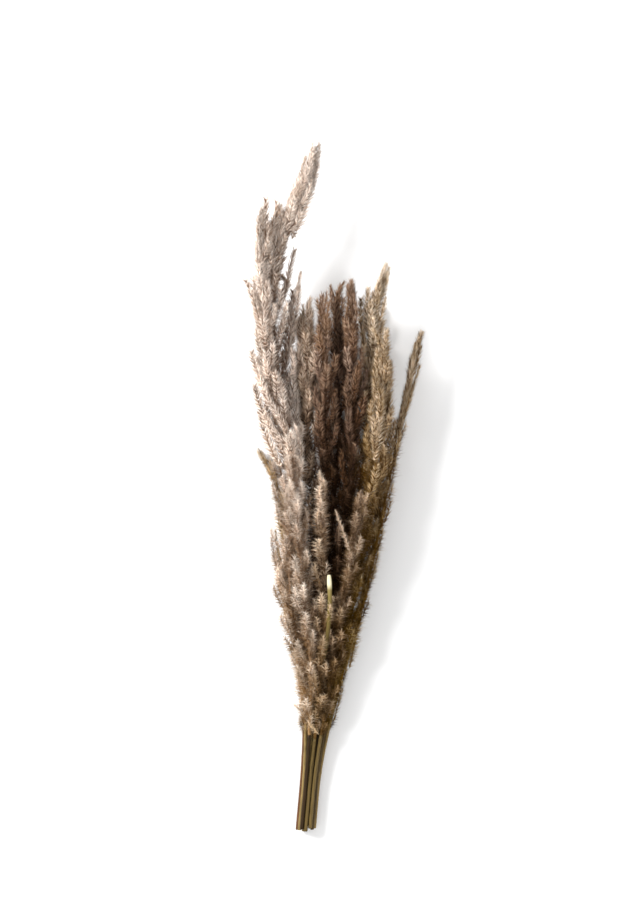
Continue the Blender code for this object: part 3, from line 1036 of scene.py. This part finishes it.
def ramp(material, value, stops):
    """Colours for a value, each stop given as its place and colour."""
    node = material.node_tree.nodes.new("ShaderNodeValToRGB")
    elements = node.color_ramp.elements
    while len(elements) < len(stops):
        elements.new(0.5)
    for element, (place, colour) in zip(elements, stops):
        element.position = place
        element.color = (*colour, 1)
    material.node_tree.links.new(value, node.inputs["Fac"])
    return node.outputs["Color"]


def mapped(material, value, bounds):
    """A value brought from the range of the first two bounds to that of the last two."""
    node = material.node_tree.nodes.new("ShaderNodeMapRange")
    for name, bound in zip(RANGE, bounds):
        node.inputs[name].default_value = bound
    material.node_tree.links.new(value, node.inputs["Value"])
    return node.outputs["Result"]


def computed(material, operation, *values):
    """A sum or product of other nodes' values and plain numbers."""
    node = material.node_tree.nodes.new("ShaderNodeMath")
    node.operation = operation
    for socket, value in zip(node.inputs, values):
        if isinstance(value, bpy.types.NodeSocket):
            material.node_tree.links.new(value, socket)
        else:
            socket.default_value = value
    return node.outputs["Value"]


def stretched_noise(material, scale, detail):
    nodes, links = material.node_tree.nodes, material.node_tree.links
    stretch = nodes.new("ShaderNodeMapping")
    stretch.inputs["Scale"].default_value = scale
    links.new(object_place(material), stretch.inputs["Vector"])
    noise = nodes.new("ShaderNodeTexNoise")
    noise.inputs["Scale"].default_value = 1
    noise.inputs["Detail"].default_value = detail
    links.new(stretch.outputs["Vector"], noise.inputs["Vector"])
    return noise.outputs["Fac"]


def tuned(material, colour, **changes):
    """A colour with its hue, saturation or value changed by other nodes' values."""
    node = material.node_tree.nodes.new("ShaderNodeHueSaturation")
    material.node_tree.links.new(colour, node.inputs["Color"])
    for name, value in changes.items():
        material.node_tree.links.new(value, node.inputs[name])
    return node.outputs["Color"]


def fluff_material(name, tones, rich):
    """Dry fluff: dark where painted shade lies in its depth and pale at its tips, warmer or greyer
    from branch to branch.
    """
    made = new_material(name, 0.9)
    colour = ramp(made, attribute(made, "tone"), tuple(zip(TONE_PLACES, tones)))
    tint = attribute(made, "tint")
    value = mapped(made, tint, (0, 1, *BRIGHTNESS))
    for scale, darkest, lightest in MOTTLING:
        noise = stretched_noise(made, scale, 3)
        mottled = mapped(made, noise, (*NOISE_RANGE, darkest, lightest))
        value = computed(made, "MULTIPLY", value, mottled)
    warm = mapped(made, along_bunch(made), rich)
    saturation = computed(made, "MULTIPLY_ADD", tint, GREYER, warm)
    hue = mapped(made, along_bunch(made), OLIVE_LOW_DOWN)
    return coloured(made, tuned(made, colour, Hue=hue, Saturation=saturation, Value=value))


def straw_material():
    """Dry straw: fine streaks along the stem, from reddish and dark brown to light straw."""
    made = new_material("straw", 0.5)
    streaks = stretched_noise(made, STREAK_SCALE, 4)
    colour = ramp(made, attribute(made, "tint"), STRAW_COLOURS)
    shade = mapped(made, streaks, (*NOISE_RANGE, *STREAK_SHADES))
    bump = made.node_tree.nodes.new("ShaderNodeBump")
    bump.inputs["Strength"].default_value = STREAK_STRENGTH
    bump.inputs["Distance"].default_value = STREAK_RELIEF
    made.node_tree.links.new(streaks, bump.inputs["Height"])
    made.node_tree.links.new(bump.outputs["Normal"], shader_of(made).inputs["Normal"])
    return coloured(made, tuned(made, colour, Value=shade))


def peeled_material(low, high):
    """Olive straw that ends bare and cream, from the straw's lowest place to its highest."""
    made = new_material("peeled_straw", 0.6)
    share = mapped(made, along_bunch(made), (low, high, 0, 1))
    return coloured(made, ramp(made, share, PEELED_COLOURS))


def add_floor():
    bm = bmesh.new()
    bmesh.ops.create_grid(bm, x_segments=1, y_segments=1, size=FLOOR_HALF)
    floor = piece("floor", bm)
    matt = new_material("floor_paint", 0.9)
    shader_of(matt).inputs["Base Color"].default_value = (FLOOR_GREY, FLOOR_GREY, FLOOR_GREY, 1)
    floor.data.materials.append(matt)
    floor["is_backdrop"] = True


def add_light(name, place, size, power):
    """A round soft light that faces the middle of the bunch."""
    data = bpy.data.lights.new(name, "AREA")
    data.shape = "DISK"
    data.size = size
    data.energy = power
    light = bpy.data.objects.new(name, data)
    light.location = place
    light.rotation_euler = Vector(place).to_track_quat("Z", "Y").to_euler()
    bpy.context.scene.collection.objects.link(light)


def add_camera(shift):
    """Looks straight down, so that the photograph's pixels fall where they were measured."""
    data = bpy.data.cameras.new("camera")
    wide, high = PHOTO_SIZE
    data.sensor_fit = "VERTICAL"
    data.sensor_height = FILM_HEIGHT
    data.lens = FILM_HEIGHT * (CAMERA_HEIGHT - SEEN_LEVEL) / (high * PHOTO_PIXEL)
    camera = bpy.data.objects.new("camera", data)
    x = (wide / 2 - PHOTO_START[0]) * PHOTO_PIXEL
    y = (PHOTO_START[1] - high / 2) * PHOTO_PIXEL
    camera.location = Vector((x, y, CAMERA_HEIGHT)) + shift
    bpy.context.scene.collection.objects.link(camera)
    bpy.context.scene.camera = camera


def add_world():
    """Even white light from all round."""
    world = bpy.data.worlds.new("room")
    world.use_nodes = True
    back = world.node_tree.nodes["Background"]
    back.inputs["Color"].default_value = (1, 1, 1, 1)
    back.inputs["Strength"].default_value = 0.8
    bpy.context.scene.world = world


def shift_of(first):
    """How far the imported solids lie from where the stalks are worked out, from the first culm."""
    corner = first.at(first.cut) - Vector((CULM_RADIUS, 0, 0))
    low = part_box("culm_01")[0]
    return Vector((low[0] - corner.x, low[1] - corner.y, 0))


def main():
    stalks = make_stalks()
    shift = shift_of(stalks[0])
    sprigs = make_sprigs()
    straw = straw_material()
    fluffs = {
        name: fluff_material(f"fluff_{name}", tones, RICH_LOW_DOWN[name])
        for name, tones in TONES.items()
    }
    for stalk in stalks:
        stem = make_stem(stalk, shift)
        stem.data.materials.append(straw)
        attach(stem, "root")
        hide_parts(f"culm_{stalk.name}")
        plume = make_plume(stalk, stalks, sprigs, shift)
        plume.data.materials.append(fluffs[stalk.colour])
        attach(plume, "root")
        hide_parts(f"plume_{stalk.name}")
    peeled = make_peeled_straw(shift)
    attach(peeled, "root")
    for sizes in sprigs.values():
        for sprig in sum(sizes, []):
            bpy.data.meshes.remove(sprig.mesh)
    add_floor()
    add_world()
    add_light("key", (-1.5, 0.9, 1.5), size=0.9, power=76)
    add_light("fill", (1.2, -0.6, 1.6), size=1.4, power=12)
    add_camera(shift)


main()
bpy.context.scene.view_settings.view_transform = "Standard"
found = (solid_bounds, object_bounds())
[[[float(n) for n in corner] for corner in box] for box in found]
